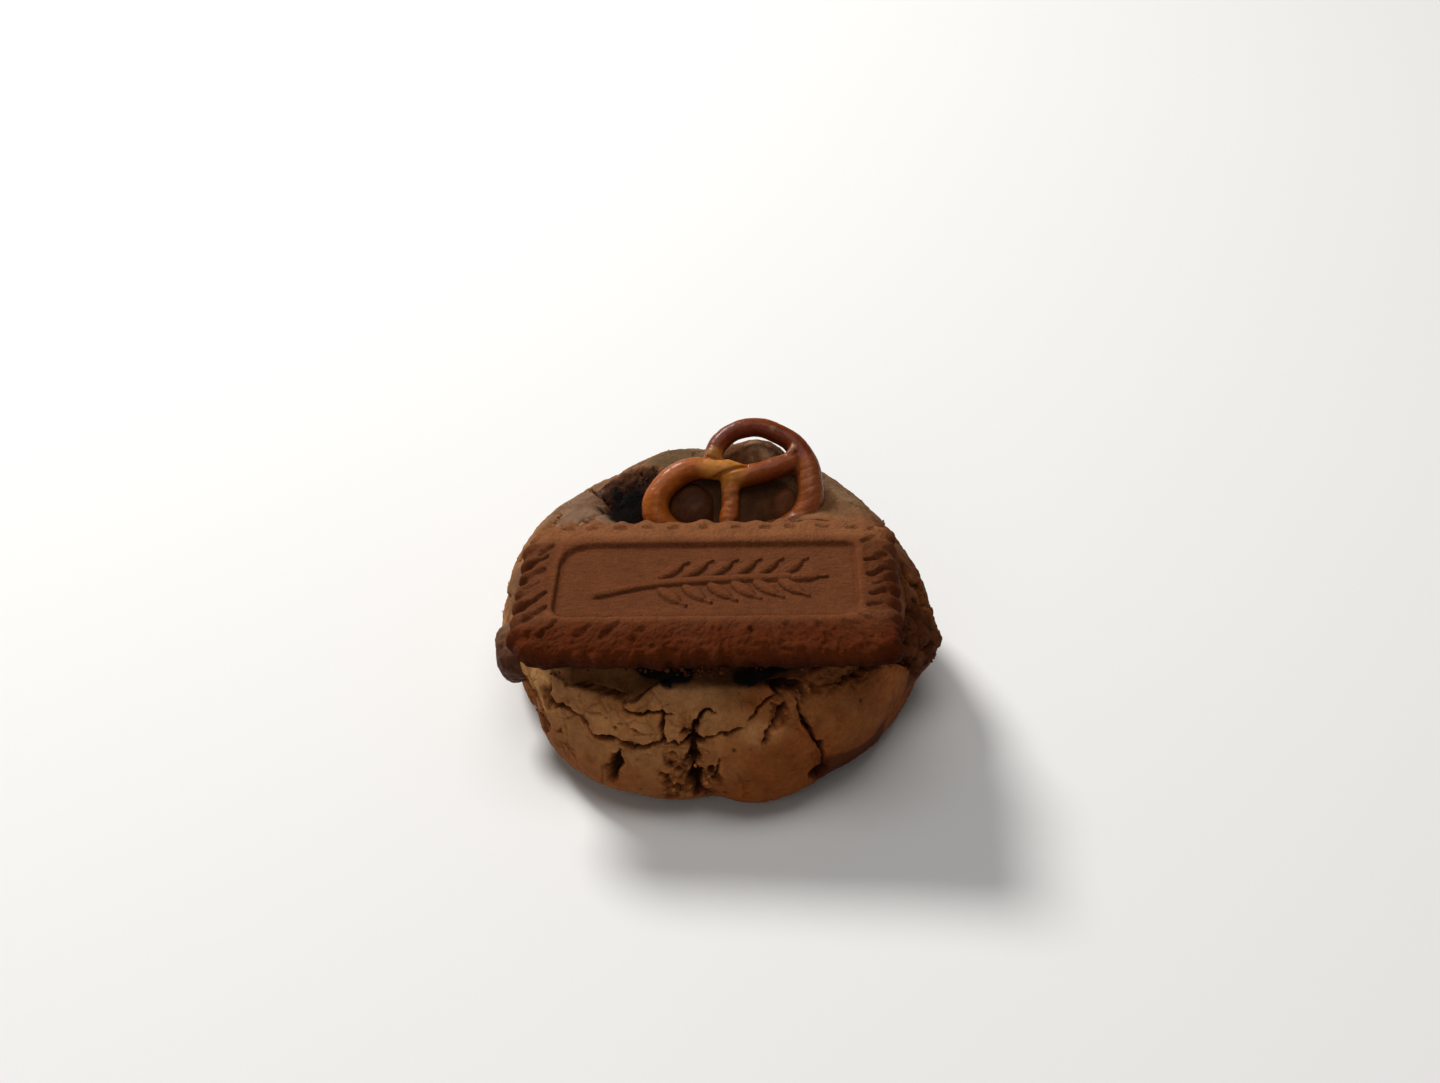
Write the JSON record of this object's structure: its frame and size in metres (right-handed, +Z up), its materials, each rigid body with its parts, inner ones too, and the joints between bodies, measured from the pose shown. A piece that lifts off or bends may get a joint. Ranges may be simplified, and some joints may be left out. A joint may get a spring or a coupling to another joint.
{
  "type": "chunky speculoos cookie",
  "caption": "Thick domed cookie with a cracked crust, topped with a rectangular spiced biscuit, a small glazed pretzel and chocolate chunks; stands on its flat base.",
  "frame": {"origin": "middle of the cookie's footprint, on the surface that it stands on", "axes": "+Z up, +X to the right along the biscuit, +Y from the biscuit's front edge towards the pretzel"},
  "size_m": [0.0726, 0.0731, 0.0408],
  "materials": {
    "crust": "matt, tan baked crust with dark crumb in its cracks",
    "biscuit": "matt, fine-grained caramel-brown biscuit",
    "pretzel": "glossy, red-brown baked glaze",
    "milk_chocolate": "satin milk chocolate",
    "dark_chocolate": "glossy dark chocolate"
  },
  "bodies": {
    "root": {"cookie_dough": "crust", "spiced_biscuit": "biscuit", "pretzel": "pretzel", "milk_chunk_left": "milk_chocolate", "milk_chunk_lobe": "milk_chocolate", "milk_chunk_back": "milk_chocolate", "dark_chunk_crater": "dark_chocolate", "dark_chunk_front_left": "dark_chocolate", "dark_chunk_front_right": "dark_chocolate"}
  },
  "joints": []
}
